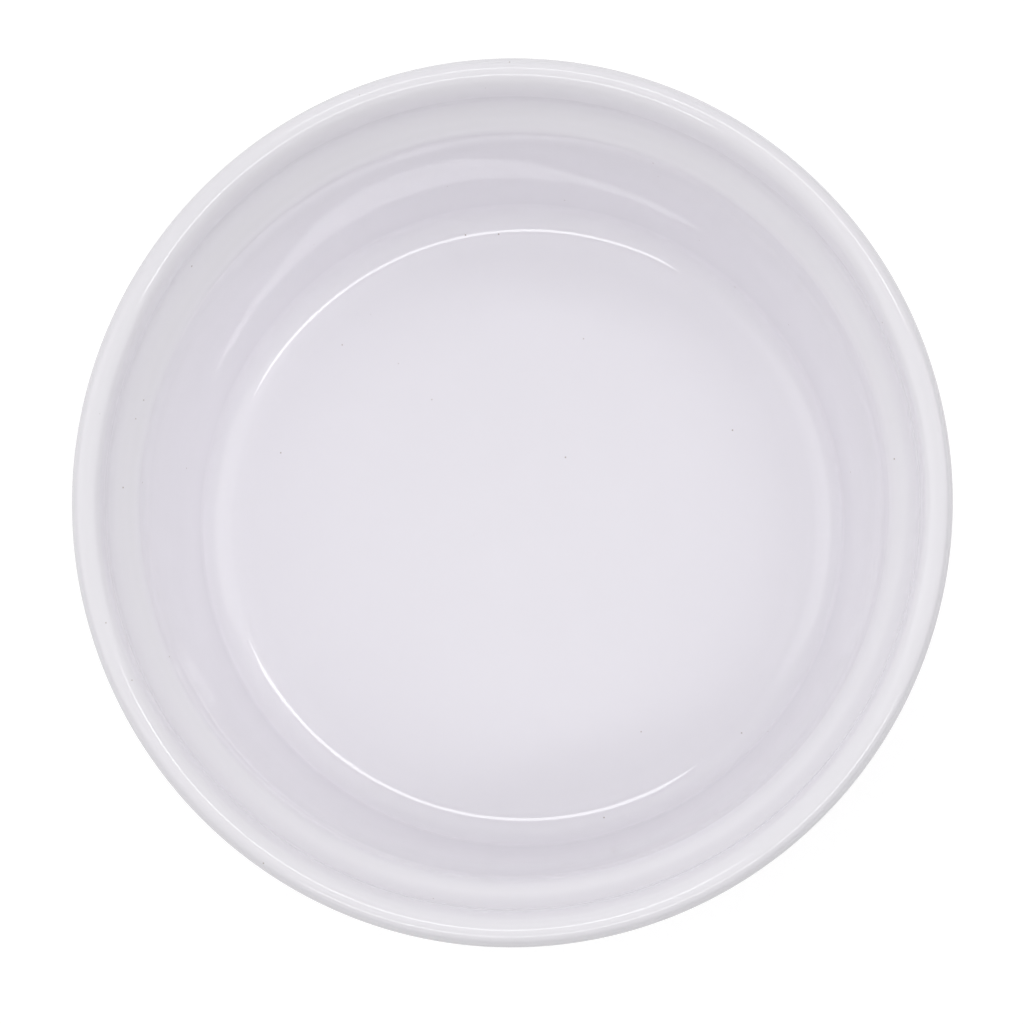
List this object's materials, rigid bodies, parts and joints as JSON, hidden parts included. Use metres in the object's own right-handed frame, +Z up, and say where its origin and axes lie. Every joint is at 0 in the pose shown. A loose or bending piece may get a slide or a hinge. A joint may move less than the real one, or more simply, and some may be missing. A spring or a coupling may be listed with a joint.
{
  "type": "ramekin",
  "caption": "Round white ramekin: a glazed clay baking dish with a rounded lip, a sloping shoulder inside, a plain band over fluted sides and a bare foot ring.",
  "frame": {"origin": "middle of the foot ring, on the surface that the dish stands on", "axes": "+Z up along the axis of the dish, towards its mouth; X and Y level"},
  "size_m": [0.089, 0.089, 0.0445],
  "materials": {
    "fired_clay": "bare, matt, fine-grained",
    "white_glaze": "glossy"
  },
  "bodies": {
    "root": {"clay_body": "fired_clay", "glaze_coat": "white_glaze", "underside_glaze": "white_glaze"}
  },
  "joints": []
}
